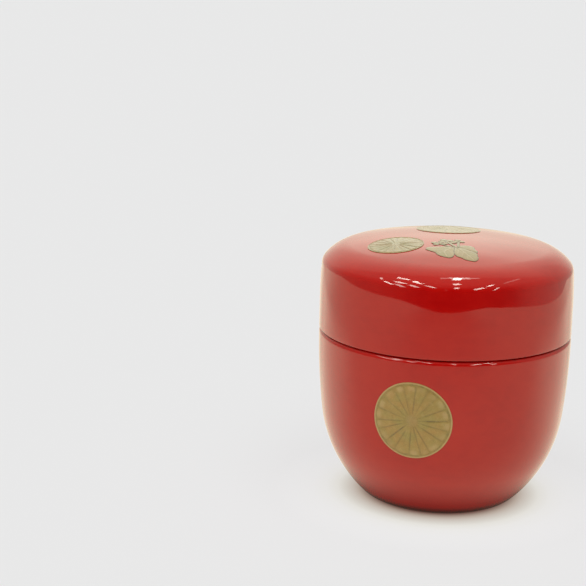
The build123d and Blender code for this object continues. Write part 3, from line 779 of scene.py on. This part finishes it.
def flower(name, radius, where, body, nodes, seed, spin=0.0):
    """Many-petalled round flower drawn by hand: low petals whose ends are painted pale as a highlight, sunk lines of
    uneven weight and a thin raised rim.
    """
    rnd = random.Random(seed)
    count = 18
    wide = 2 * pi / count
    cuts = [radians(spin) + wide * (k + rnd.uniform(-0.17, 0.17)) for k in range(count)]
    weight = [rnd.uniform(0.30, 1.0) for _ in range(count)]
    start = [rnd.uniform(0.16, 0.34) for _ in range(count)]
    stop = [rnd.uniform(0.78, 0.98) for _ in range(count)]
    ends = [0.940 + rnd.uniform(-0.022, 0.012) for _ in range(count)]
    lifts = [rnd.uniform(0.80, 1.0) for _ in range(count)]
    tips = [rnd.uniform(0.25, 1.0) for _ in range(count)]
    lean_ = [rnd.uniform(-0.35, 0.35) for _ in range(count)]
    veins = [rnd.uniform(0.0, 0.55) if rnd.random() < 0.6 else 0.0 for _ in range(count)]
    steps = 16
    rings = 48
    angles = []
    for k in range(count):
        a0, a1 = cuts[k], cuts[(k + 1) % count] + (2 * pi if k == count - 1 else 0)
        for i in range(steps):
            # closer together beside the cuts, where the sunk lines are
            s = i / steps
            s = 0.55 * (0.5 - 0.5 * cos(pi * s)) + 0.45 * s
            angles.append((k, a0, a1, a0 + (a1 - a0) * s))
    core = 0.150
    points = [(0.0, 0.0, 0.120, 0.52, 0.25)]
    for j in range(1, rings + 1):
        rho = j / rings
        for k, a0, a1, a in angles:
            phi = 2 * (a - a0) / (a1 - a0) - 1
            c = k if phi < 0 else (k + 1) % count
            end = ends[k] - 0.050 * (1 - sqrt(max(0.0, 1 - phi * phi)))
            to_cut = rho * radius * (a1 - a0) / 2 * (1 - abs(phi))
            to_end = (end - rho) * radius
            to_core = (rho - core) * radius
            along = smooth(start[c] - 0.08, start[c] + 0.08, rho) * (1 - smooth(stop[c] - 0.12, stop[c] + 0.06, rho))
            sharp_ = weight[c] * (0.22 + 0.78 * along)
            groove = (1 - smooth(0.03, 0.20 + 0.16 * weight[c], to_cut)) * sharp_
            crown = cos(phi * pi / 2) ** 0.8
            share = max(0.0, (rho - core) / (end - core))
            fibre = noise.noise(Vector((cos(a) * 16.0, sin(a) * 16.0, rho * 1.6 + seed)))
            cloth = noise.noise(Vector((rho * cos(a) * 3.2, rho * sin(a) * 3.2, seed + 9.0)))
            dish = 1.0 - 0.22 * smooth(0.25, 0.70, share) * (1 - smooth(0.80, 1.0, share)) * crown
            h = 0.060 + (0.060 + 0.024 * crown) * lifts[k] * dish + 0.006 * fibre
            h -= 0.070 * groove
            tone = 0.66 + 0.08 * crown - 0.46 * groove + 0.12 * fibre + 0.09 * cloth
            tone -= 0.12 * (1 - lifts[k]) / 0.2 * (1 - crown)
            if veins[k]:
                v = 1 - smooth(0.04, 0.17, abs(phi - lean_[k] * 0.4) * rho * radius * wide / 2)
                v *= smooth(0.16, 0.30, share) * (1 - smooth(0.55, 0.80, share)) * veins[k]
                h -= 0.024 * v
                tone -= 0.34 * v
            # painted highlight: the raised petal ends are painted paler where they catch the light
            tip = smooth(0.76, 0.90, share) * (1 - smooth(0.955, 1.0, share))
            tip *= 1 - smooth(0.25, 0.95, abs(phi - lean_[k]))
            pale_and_highlight = 0.60 * tip * tips[k]
            h += 0.016 * tip * tips[k]
            gap = 1 - smooth(-0.02, 0.16, to_end)
            h = h * (1 - gap) + 0.062 * gap
            tone = tone * (1 - gap) + (0.36 + 0.26 * (1 - weight[c]) + 0.25 * fibre) * gap
            pale_and_highlight *= 1 - gap
            bead = 0.5 + 0.5 * noise.noise(Vector((rho * cos(a), rho * sin(a), seed)) * 15.0)
            inner = 1 - smooth(-0.34, 0.30, to_core + 0.16 * (bead - 0.5))
            around = smooth(-0.10, 0.10, to_core) * (1 - smooth(0.35, 0.95, to_core))
            tone -= 0.12 * around * (0.4 + 0.6 * bead)
            h -= 0.016 * around
            h = h * (1 - inner) + (0.098 + 0.040 * bead) * inner
            tone = tone * (1 - inner) + (0.42 + 0.22 * bead) * inner
            pale_and_highlight = pale_and_highlight * (1 - inner) + 0.16 * inner
            rim = smooth(0.9620, 0.9760, rho) * (1 - 0.62 * smooth(0.988, 1.0, rho))
            h = h * (1 - rim) + (GOLD_T - 0.010) * rim
            tone = tone * (1 - rim) + 0.74 * rim
            pale_and_highlight = pale_and_highlight * (1 - rim) + 0.95 * rim
            hand = 0.004 * noise.noise(Vector((cos(a) * 2.2, sin(a) * 2.2, seed + 0.5)))
            q = rho * radius * (0.996 + hand)
            points.append((q * cos(a), q * sin(a), h, min(1.0, max(0.0, tone)), pale_and_highlight))
    m = len(angles)
    faces = []
    for i in range(m):
        n_ = (i + 1) % m
        faces.append((0, 1 + i, 1 + n_))
    for j in range(rings - 1):
        o = 1 + j * m
        for i in range(m):
            n_ = (i + 1) % m
            faces.append((o + i, o + m + i, o + m + n_, o + n_))
    return relief(name, points, faces, where, body, nodes)


def rounded(pts, steps=6):
    """Closed smooth outline through the points."""
    out = []
    n = len(pts)
    for i in range(n):
        p0, p1, p2, p3 = (pts[(i + k - 1) % n] for k in range(4))
        for s in range(steps):
            t = s / steps
            out.append(
                tuple(
                    0.5
                    * (
                        2 * p1[c]
                        + (p2[c] - p0[c]) * t
                        + (2 * p0[c] - 5 * p1[c] + 4 * p2[c] - p3[c]) * t * t
                        + (3 * p1[c] - p0[c] - 3 * p2[c] + p3[c]) * t**3
                    )
                    for c in (0, 1)
                )
            )
    return out


def circle(x, y, r, n=28):
    return [(x + r * cos(2 * pi * i / n), y + r * sin(2 * pi * i / n)) for i in range(n)]


def bar(x, y, w, length, deg):
    c, s = cos(radians(deg)), sin(radians(deg))
    out = []
    for dx, dy in ((-w / 2, -length / 2), (w / 2, -length / 2), (w / 2, length / 2), (-w / 2, length / 2)):
        out.append((x + dx * c - dy * s, y + dx * s + dy * c))
    return out


SIDE_LEAF = [
    (0.2, 0.9), (-2.2, 2.4), (-4.6, 3.1), (-6.9, 3.5), (-7.8, 2.2), (-7.2, 0.4), (-6.7, -0.9),
    (-6.9, -2.5), (-6.2, -4.3), (-4.9, -5.7), (-3.6, -5.0), (-2.4, -3.2), (-0.9, -1.2),
]
MIDDLE_LEAF = [
    (0, 1.0), (-1.5, -0.9), (-2.5, -3.0), (-2.9, -5.2), (-2.3, -6.6), (-1.7, -8.2), (0, -9.6),
    (1.7, -8.2), (2.3, -6.6), (2.9, -5.2), (2.5, -3.0), (1.5, -0.9),
]
SMALL_LEAF = [
    (0.2, 0.9), (1.6, 1.8), (3.1, 1.6), (4.2, 0.7), (4.4, -0.6), (3.9, -1.9), (3.9, -3.2),
    (3.2, -4.5), (2.2, -3.4), (0.9, -1.2),
]
SIDE_VEINS = [
    [(-0.3, 0.4), (-2.4, -0.1), (-4.4, -1.5), (-5.3, -4.6)],
    [(-1.9, 0.3), (-3.9, 1.6), (-6.9, 2.5)],
    [(-3.1, -0.4), (-4.6, 0.0), (-6.7, 0.1)],
    [(-4.4, -1.5), (-5.6, -1.6), (-6.5, -2.2)],
    [(-3.1, -0.5), (-3.0, -1.8), (-3.5, -3.6)],
    [(-1.9, 0.3), (-2.6, 1.5), (-3.9, 2.5)],
]
SMALL_VEINS = [
    [(0.3, 0.7), (1.9, 0.4), (3.0, -0.9), (3.3, -3.9)],
    [(1.6, 0.5), (2.7, 0.9), (3.7, 0.6)],
    [(2.5, -0.3), (3.3, -0.2), (4.0, -0.5)],
]
MIDDLE_VEINS = [
    [(0.0, 0.4), (0.05, -3.5), (0.0, -8.8)],
    [(0.0, -1.0), (-1.1, -2.4), (-2.2, -4.4)],
    [(0.0, -1.0), (1.1, -2.4), (2.2, -4.4)],
    [(0.0, -3.2), (-1.1, -4.8), (-2.1, -6.4)],
    [(0.0, -3.2), (1.1, -4.8), (2.1, -6.4)],
    [(0.0, -5.6), (-0.7, -6.8), (-1.3, -8.0)],
    [(0.0, -5.6), (0.7, -6.8), (1.3, -8.0)],
]


def inside(poly, x, y):
    hit = False
    for i in range(len(poly)):
        x0, y0 = poly[i - 1]
        x1, y1 = poly[i]
        if (y0 > y) != (y1 > y) and x < (x1 - x0) * (y - y0) / (y1 - y0) + x0:
            hit = not hit
    return hit


def off(line, x, y, closed):
    """Shortest way from a point to a line."""
    best = 1e9
    n = len(line)
    for i in range(n if closed else n - 1):
        x0, y0 = line[i]
        x1, y1 = line[(i + 1) % n]
        dx, dy = x1 - x0, y1 - y0
        t = ((x - x0) * dx + (y - y0) * dy) / (dx * dx + dy * dy + 1e-12)
        t = min(1.0, max(0.0, t))
        best = min(best, (x - x0 - t * dx) ** 2 + (y - y0 - t * dy) ** 2)
    return sqrt(best)


def eased(line, steps=8):
    """Smooth open line through the points."""
    pts = [line[0]] + list(line) + [line[-1]]
    out = []
    for i in range(1, len(pts) - 2):
        p0, p1, p2, p3 = pts[i - 1 : i + 3]
        for s in range(steps):
            t = s / steps
            out.append(
                tuple(
                    0.5 * (2 * p1[c] + (p2[c] - p0[c]) * t
                           + (2 * p0[c] - 5 * p1[c] + 4 * p2[c] - p3[c]) * t * t
                           + (3 * p1[c] - p0[c] - 3 * p2[c] + p3[c]) * t**3)
                    for c in (0, 1)
                )
            )
    return out + [line[-1]]


def crest_sheet():
    """Leaves, stems and buds as one flat sheet of triangles with heights and tones."""
    leaf_l = rounded(SIDE_LEAF)
    leaf_r = rounded(SMALL_LEAF)
    leaf_m = rounded(MIDDLE_LEAF)
    layers = [  # bottom to top: outline, thickness, veins
        (leaf_l, 0.0, [eased(v) for v in SIDE_VEINS]),
        (leaf_r, 0.0, [eased(v) for v in SMALL_VEINS]),
        (leaf_m, 0.01, [eased(v) for v in MIDDLE_VEINS]),
        (bar(0, 4.0, 0.8, 8.0, 0), 0.0, []),
        (bar(-1.9, 3.4, 0.7, 5.6, 28), 0.0, []),
        (bar(1.9, 3.4, 0.7, 5.6, -28), 0.0, []),
    ]
    for x, y in ((0, 8.0), (1.1, 6.7), (-1.1, 6.7), (1.2, 4.9), (-1.2, 4.9)):
        layers.append((circle(x, y, 0.95), 0.01, []))
    for x, y in ((3.3, 6.6), (-3.3, 6.6), (3.6, 5.0), (-3.6, 5.0), (2.2, 5.5), (-2.2, 5.5)):
        layers.append((circle(x, y, 0.85), 0.01, []))
    boxes = [
        (min(p[0] for p in o), max(p[0] for p in o), min(p[1] for p in o), max(p[1] for p in o))
        for o, _, _ in layers
    ]

    def top_layer(x, y):
        for i in range(len(layers) - 1, -1, -1):
            a, b, c, d = boxes[i]
            if a <= x <= b and c <= y <= d and inside(layers[i][0], x, y):
                return i
        return -1

    flat, edges = [], []
    for outline, _, _ in layers:
        fine = []
        for i in range(len(outline)):
            (x0, y0), (x1, y1) = outline[i], outline[(i + 1) % len(outline)]
            n = max(1, ceil(hypot(x1 - x0, y1 - y0) / 0.22))
            fine += [(x0 + (x1 - x0) * k / n, y0 + (y1 - y0) * k / n) for k in range(n)]
        o = len(flat)
        flat += fine
        edges += [(o + i, o + (i + 1) % len(fine)) for i in range(len(fine))]
    rnd = random.Random(5)
    gap = 0.17
    row = 0
    y = -9.8
    while y < 9.2:
        x = -8.0 + (gap / 2 if row % 2 else 0)
        while x < 8.0:
            px, py = x + rnd.uniform(-0.02, 0.02), y + rnd.uniform(-0.02, 0.02)
            i = top_layer(px, py)
            if i >= 0 and off(layers[i][0], px, py, True) > 0.08:
                flat.append((px, py))
            x += gap
        y += gap * 0.866
        row += 1
    got = geometry.delaunay_2d_cdt([Vector(p) for p in flat], edges, [], 0, 1e-5)
    verts, tris = got[0], got[2]
    keep = []
    for f in tris:
        cx = sum(verts[i][0] for i in f) / len(f)
        cy = sum(verts[i][1] for i in f) / len(f)
        if top_layer(cx, cy) >= 0:
            keep.append(list(f))
    used = sorted({i for f in keep for i in f})
    index = {v: i for i, v in enumerate(used)}
    points = []
    for v in used:
        x, y = verts[v][0], verts[v][1]
        i = top_layer(x, y)
        near = 1e9
        for j, (outline, _, _) in enumerate(layers):
            a, b, c, d = boxes[j]
            if a - 0.4 <= x <= b + 0.4 and c - 0.4 <= y <= d + 0.4 and j >= i:
                # painted shade along the outlines: an edge that only overlaps gold gets a fainter dark line than the
                # outer edge
                near = min(near, off(outline, x, y, True) + (0.12 if j > i else 0.0))
        near = min(near, 2.0)
        extra = layers[i][1] if i >= 0 else 0.0
        up_ = smooth(0.0, 0.24, near)
        h = 0.065 + (0.060 + extra) * up_
        # painted shade: a dark line along each outline, for the shadow at the relief's edge
        tone = 0.70 * smooth(0.06, 0.34, near)
        pale_and_highlight = 0.0
        if i >= 0 and layers[i][2]:
            main = off(layers[i][2][0], x, y, False)
            side_ = min(off(v_, x, y, False) for v_ in layers[i][2][1:])
            a = 1 - smooth(0.10, 0.26, main)
            b = (1 - smooth(0.06, 0.18, side_)) * 0.8
            w = max(a, b) * smooth(0.05, 0.4, near)
            # painted highlight: the raised vein ridges are painted paler, with darker sunk lines beside them
            h += 0.030 * w
            tone += 0.16 * w
            pale_and_highlight = 0.75 * w
            sunk = max(smooth(0.10, 0.26, main) * (1 - smooth(0.26, 0.5, main)),
                       0.7 * smooth(0.06, 0.18, side_) * (1 - smooth(0.18, 0.36, side_)))
            h -= 0.014 * sunk * up_
            tone -= 0.24 * sunk * up_
            h += 0.012 * smooth(0.2, 0.9, near)
            # painted highlight: a paler band just inside the leaf edge, where the relief turns up
            pale_and_highlight = max(pale_and_highlight, 0.35 * smooth(0.12, 0.3, near) * (1 - smooth(0.3, 0.6, near)))
        elif i >= 6:
            h += 0.028 * smooth(0.1, 0.75, near)
            # painted highlight: the raised middle of each bud is painted paler
            pale_and_highlight = 0.35 * smooth(0.35, 0.8, near)
        points.append((x, y, min(h, GOLD_T - 0.004), min(1.0, max(0.0, tone)), pale_and_highlight))
    faces = []
    for f in keep:
        g = [index[i] for i in f]
        (x0, y0), (x1, y1), (x2, y2) = (points[i][:2] for i in g[:3])
        if (x1 - x0) * (y2 - y0) - (x2 - x0) * (y1 - y0) < 0:
            g.reverse()
        faces.append(g)
    return points, faces


flower(
    "body_flower_front_relief", 10.0, on_belly(belly_frame(-12.6, 28.9)),
    "body", ["body_flower_front"], 11, spin=4.0,
)
flower(
    "body_flower_back_relief", 9.0, on_belly(belly_frame(-132.6, 26.9)),
    "body", ["body_flower_back"], 23, spin=11.0,
)
flower(
    "lid_flower_left_relief", 7.2, on_lid(-13.2, -10.4),
    "lid", ["lid_flower_left"], 37, spin=7.0,
)
flower(
    "lid_flower_back_relief", 8.6, on_lid(0.0, 10.2),
    "lid", ["lid_flower_back"], 41, spin=2.0,
)
crest_points, crest_faces = crest_sheet()
relief(
    "lid_crest_relief", crest_points, crest_faces, on_lid(2.5, -14.0, 27.0),
    "lid", ["lid_crest_front"],
)
relief(
    "body_crest_relief", crest_points, crest_faces, on_belly(belly_frame(107.4, 28.9)),
    "body", ["body_crest_back"],
)


# ------------------------------------------------------------ floor and backdrop
def stage_mesh(name, verts, faces, material):
    mesh = bpy.data.meshes.new(name)
    mesh.from_pydata(verts, [], faces)
    mesh.update()
    mesh.materials.append(material)
    obj = bpy.data.objects.new(name, mesh)
    scene.collection.objects.link(obj)
    return obj


def glow_floor(name, albedo, stops, reach, uneven=False, tint=(1.0, 1.0, 1.0)):
    """Pale floor lit from below like a light table, with a painted contact shadow round the foot where the caddy stands
    on it.
    """
    m, nt, s = tree(name)
    g = Graph(nt)
    r, z = g.axial(g.coords())
    glow = g.ramp(g.remap(r, reach[0], reach[1], 0.0, 1.0), stops)
    if uneven:
        # painted light on the floor seen in reflections: brighter behind and close at the sides, dimmer straight in
        # front
        n = g.add("ShaderNodeSeparateXYZ")
        g.wire(g.coords(), n.inputs[0])
        x, y, z = n.outputs
        across = g.math("ABSOLUTE", x)
        far = g.remap(y, 0.08, 0.27, 0.0, 0.32, True)
        side = g.math(
            "MULTIPLY",
            g.math("MULTIPLY", g.remap(across, 0.020, 0.065, 0.0, 0.42, True), g.remap(across, 0.17, 0.23, 1.0, 0.0, True)),
            g.remap(y, -0.045, 0.020, 0.0, 1.0, True),
        )
        front = g.math(
            "MULTIPLY",
            g.remap(y, -0.30, -0.05, -0.42, 0.0, True),
            g.remap(across, 0.06, 0.21, 1.0, 0.0, True),
        )
        gain = g.math("ADD", g.math("ADD", g.math("ADD", far, side), front), 1.0)
        # and plain again straight behind, where the gloss turns to a mirror
        slant = g.math("DIVIDE", across, g.math("MAXIMUM", y, 0.02))
        behind = g.math("ADD", g.remap(slant, 0.12, 0.50, 0.28, 0.0, True), g.remap(slant, 0.72, 1.10, 0.22, 0.0, True))
        behind = g.math("MULTIPLY", behind, g.remap(y, 0.02, 0.08, 0.0, 1.0, True))
        behind = g.math("MULTIPLY", behind, g.remap(y, 0.28, 0.44, 1.0, 0.74, True))
        gain = g.math("MULTIPLY", gain, g.math("SUBTRACT", 1.0, behind))
        white = g.add("ShaderNodeCombineColor")
        for i in range(3):
            g.wire(gain, white.inputs[i])
        glow = g.mix(1.0, glow, white.outputs[0], "MULTIPLY")
    glow = g.mix(1.0, glow, tint, "MULTIPLY")
    g.wire(glow, s.inputs["Emission Color"])
    s.inputs["Emission Strength"].default_value = 1.0
    s.inputs["Base Color"].default_value = (*albedo, 1)
    s.inputs["Roughness"].default_value = 1.0
    s.inputs["Specular IOR Level"].default_value = 0.0
    m.cycles.emission_sampling = "NONE"
    return m


FLOOR_ALBEDO = (0.15, 0.15, 0.15)
# painted contact shadow: the floor's glow falls to black at the foot, with a painted warm bounce from the red close to
# it
FLOOR_GLOW_AND_PAINTED_SHADOW = [
    (0.000, (0.000, 0.000, 0.000)),
    (0.025, (0.015, 0.000, 0.000)),
    (0.043, (0.060, 0.018, 0.012)),
    (0.071, (0.180, 0.100, 0.080)),
    (0.107, (0.300, 0.215, 0.175)),
    (0.161, (0.450, 0.375, 0.315)),
    (0.214, (0.530, 0.480, 0.425)),
    (0.286, (0.605, 0.585, 0.530)),
    (0.357, (0.685, 0.680, 0.635)),
    (0.464, (0.708, 0.710, 0.690)),
    (0.607, (0.703, 0.706, 0.700)),
    (0.820, (0.689, 0.691, 0.691)),
    (1.000, (0.676, 0.677, 0.677)),
]
ring = []
for k in range(96):
    a = 2 * pi * k / 96
    ring.append((4.0 * cos(a), 4.0 * sin(a), -0.00008))
floor_obj = stage_mesh(
    "floor", ring, [tuple(range(96))],
    glow_floor("floor", FLOOR_ALBEDO, FLOOR_GLOW_AND_PAINTED_SHADOW, (0.0170, 0.0450)),
)
floor_obj.visible_glossy = False

# what the caddy itself sees of the floor: a round-cornered table that ends in the dim room, its glow painted dark round
# the foot as a contact shadow
TABLE_GLOW_AND_PAINTED_SHADOW = [
    (0.0000, (0.02, 0.02, 0.02)),
    (0.0035, (0.04, 0.04, 0.04)),
    (0.0175, (0.12, 0.12, 0.12)),
    (0.0275, (0.20, 0.20, 0.20)),
    (0.0350, (0.36, 0.36, 0.36)),
    (0.0450, (0.60, 0.60, 0.60)),
    (0.0550, (0.82, 0.82, 0.82)),
    (0.0700, (1.04, 1.04, 1.04)),
    (0.0900, (1.08, 1.08, 1.08)),
    (0.1400, (1.03, 1.03, 1.03)),
    (0.3500, (1.06, 1.06, 1.06)),
    (1.0000, (1.06, 1.06, 1.06)),
]
TABLE_EDGE = [
    (-0.480, 3.0), (-0.480, 0.120), (-0.478, -0.040), (-0.452, -0.160), (-0.405, -0.262), (-0.352, -0.330),
    (-0.290, -0.368), (-0.215, -0.385), (-0.130, -0.376), (-0.030, -0.355), (0.070, -0.358), (0.165, -0.360),
    (0.240, -0.338), (0.285, -0.285), (0.318, -0.220), (0.340, -0.140), (0.342, -0.045), (0.315, 0.085),
    (0.290, 0.180), (0.290, 3.0),
]
table = stage_mesh(
    "floor_in_reflections", [(x, y, -0.00014) for x, y in TABLE_EDGE], [tuple(range(len(TABLE_EDGE)))],
    glow_floor(
        "floor_in_reflections", (0.0, 0.0, 0.0), TABLE_GLOW_AND_PAINTED_SHADOW, (0.0170, 0.2170),
        uneven=True, tint=(0.95, 0.88, 0.68),
    ),
)
table.visible_camera = False
table.visible_diffuse = False
table.visible_shadow = False

# pale surround for cameras that look over the floor's edge
rows, cols = 24, 96
verts, faces = [], []
for i in range(rows + 1):
    e = radians(90 * i / rows)
    for k in range(cols):
        a = 2 * pi * k / cols
        verts.append((4.0 * cos(e) * cos(a), 4.0 * cos(e) * sin(a), 4.0 * sin(e) - 0.001))
for i in range(rows):
    for k in range(cols):
        n_ = (k + 1) % cols
        faces.append((i * cols + k, (i + 1) * cols + k, (i + 1) * cols + n_, i * cols + n_))
glow = bpy.data.materials.new("surround")
glow.use_nodes = True
nt = glow.node_tree
nt.nodes.clear()
out_node = nt.nodes.new("ShaderNodeOutputMaterial")
emit = nt.nodes.new("ShaderNodeEmission")
emit.inputs["Color"].default_value = (0.807, 0.807, 0.807, 1)
emit.inputs["Strength"].default_value = 1.0
nt.links.new(emit.outputs[0], out_node.inputs[0])
surround = stage_mesh("surround", verts, faces, glow)
surround.visible_diffuse = False
surround.visible_glossy = False
surround.visible_transmission = False
surround.visible_shadow = False

# ------------------------------------------------------------ light
WARM = (1.0, 0.945, 0.78)
world = bpy.data.worlds.new("studio")
scene.world = world
world.use_nodes = True
nt = world.node_tree
g = Graph(nt)
back = nt.nodes["Background"]
d = g.add("ShaderNodeTexCoord").outputs["Generated"]
sep = g.add("ShaderNodeSeparateXYZ")
g.wire(d, sep.inputs[0])
dx, dy, dz = sep.outputs
# bright behind and overhead, dim towards the front
lean = g.math("ADD", dy, g.math("MULTIPLY", dz, 0.90))
high = g.ramp(
    g.remap(lean, -1.35, 1.35, 0.0, 1.0),
    [(((v + 1.35) / 2.7), (c, c, c)) for v, c in (
        (-1.35, 0.04), (-1.00, 0.06), (-0.70, 0.10), (-0.35, 0.18), (0.00, 0.26), (0.30, 0.34),
        (0.70, 0.52), (0.95, 0.62), (1.01, 0.88), (1.08, 1.00), (1.15, 1.10), (1.25, 1.28), (1.35, 1.50),
    )],
)
turn_ = g.math("ADD", g.math("DIVIDE", g.math("ARCTAN2", dx, g.math("MULTIPLY", dy, -1.0)), 2 * pi), 0.5)
low_ = g.ramp(
    turn_,
    [((v + 180) / 360, (c, c, c)) for v, c in (
        (-180, 1.10), (-165, 1.10), (-150, 1.05), (-135, 0.95), (-120, 0.60), (-108, 0.38), (-90, 0.30),
        (-65, 0.25), (-45, 0.14), (-25, 0.05), (-10, 0.015), (0, 0.008), (15, 0.012), (35, 0.04), (48, 0.06),
        (62, 0.14), (75, 0.36), (90, 0.50), (112, 0.60), (140, 0.67), (149, 0.72), (153, 0.88), (160, 0.98),
        (168, 1.06), (180, 1.10),
    )],
)
level = g.mix(g.remap(dz, sin(radians(20)), sin(radians(50)), 0.0, 1.0, True), low_, high)
# a brighter patch of wall straight behind, a little above the caddy
slant = g.math("DIVIDE", g.math("ABSOLUTE", dx), g.math("MAXIMUM", dy, 0.05))
wide_ = g.ramp(
    g.remap(slant, 0.0, 0.36, 0.0, 1.0),
    [(v / 0.36, (0.80 * c, c, 1.02 * c)) for v, c in ((0.0, 0.72), (0.05, 0.70), (0.087, 0.60), (0.13, 0.41), (0.18, 0.25), (0.23, 0.14), (0.34, 0.0))],
)
tall = g.ramp(
    g.remap(dz, 0.0, 0.6, 0.0, 1.0),
    [(sin(radians(v)) / 0.6, (c, c, c)) for v, c in (
        (0, 0.0), (4, 0.08), (8, 0.34), (11, 0.66), (14, 0.88), (18, 1.02), (24, 1.10), (26, 0.92), (28.5, 0.46), (31, 0.14), (34, 0.0),
    )],
)
level = g.mix(1.0, level, g.mix(1.0, wide_, tall, "MULTIPLY"), "ADD")
tint = g.mix(1.0, level, WARM, "MULTIPLY")
g.wire(tint, back.inputs["Color"])
back.inputs["Strength"].default_value = 1.0
world.cycles_visibility.diffuse = False


def lamp(name, p, q, width, watts, aim=(0.0, 0.0, 0.06), glossy_only=True):
    """Narrow strip between two points, facing the caddy."""
    p, q, aim = Vector(p), Vector(q), Vector(aim)
    mid = (p + q) / 2
    data = bpy.data.lights.new(name, "AREA")
    data.shape = "RECTANGLE"
    data.size = (q - p).length
    data.size_y = width
    data.energy = watts
    data.color = (0.80, 0.97, 0.92)
    obj = bpy.data.objects.new(name, data)
    scene.collection.objects.link(obj)
    z_axis = (mid - aim).normalized()
    x_axis = (q - p).normalized()
    y_axis = z_axis.cross(x_axis).normalized()
    x_axis = y_axis.cross(z_axis).normalized()
    obj.matrix_world = Matrix.Translation(mid) @ Matrix((x_axis, y_axis, z_axis)).transposed().to_4x4()
    if glossy_only:
        obj.visible_diffuse = False
    obj.visible_camera = False
    return obj


H = 1.55
STRIPS = [  # ceiling strips in rows: x0, y0, x1, y1, width, radiance
    (-0.59, -0.23, -0.75, -0.04, 0.063, 18),
    (-0.46, -0.71, -0.52, -0.32, 0.098, 17),
    (-0.45, -2.07, -0.48, -1.23, 0.130, 11),
    (-1.33, -0.24, -1.15, 0.00, 0.063, 9),
    (-1.09, -1.04, -1.05, -0.57, 0.201, 14),
    (-1.28, -2.37, -1.10, -1.55, 0.211, 10),
    (-2.33, -1.68, -1.80, -0.87, 0.201, 14),
    (-2.57, -2.88, -1.97, -1.83, 0.326, 7),
    (0.14, -0.14, 0.15, 0.04, 0.109, 24),
    (0.04, -0.01, 0.30, 0.07, 0.140, 4),
    (-0.08, -0.04, 0.42, 0.11, 0.080, 3),
    (0.23, -0.44, 0.12, -0.51, 0.109, 13),
    (0.37, -2.04, 0.31, -1.54, 0.154, 12),
    (1.33, -2.37, 1.14, -1.48, 0.216, 14),
    (0.96, -0.80, 0.84, -0.35, 0.091, 16),
    (2.70, -2.62, 1.90, -1.55, 0.136, 9),
    (0.99, -0.11, 1.12, 0.40, 0.054, 1.6),
]
for i, (x0, y0, x1, y1, w, radiance) in enumerate(STRIPS):
    p, q = (x0, y0, 0.06 + H), (x1, y1, 0.06 + H)
    area = hypot(x1 - x0, y1 - y0) * w
    lamp("strip_%02d" % i, p, q, w, radiance * area * pi)


def soft(name, azimuth, elevation, strength, spread, color=(1.0, 1.0, 1.0)):
    """Very soft fill from one side that leaves no mark in the gloss."""
    data = bpy.data.lights.new(name, "SUN")
    data.energy = strength
    data.angle = radians(spread)
    data.color = color
    obj = bpy.data.objects.new(name, data)
    scene.collection.objects.link(obj)
    a, e = radians(azimuth), radians(elevation)
    away = Vector((sin(a) * cos(e), -cos(a) * cos(e), sin(e)))
    obj.rotation_mode = "QUATERNION"
    obj.rotation_quaternion = away.to_track_quat("Z", "Y")
    obj.visible_glossy = False
    return obj


soft("key", 0, 70, 2.46, 60)
soft("fill_top", 0, 84, 0.12, 60)
soft("fill_left", -70, 30, 0.30, 70)
soft("fill_right", 75, 38, 0.15, 70)
soft("fill_back", 180, 40, 0.16, 70)
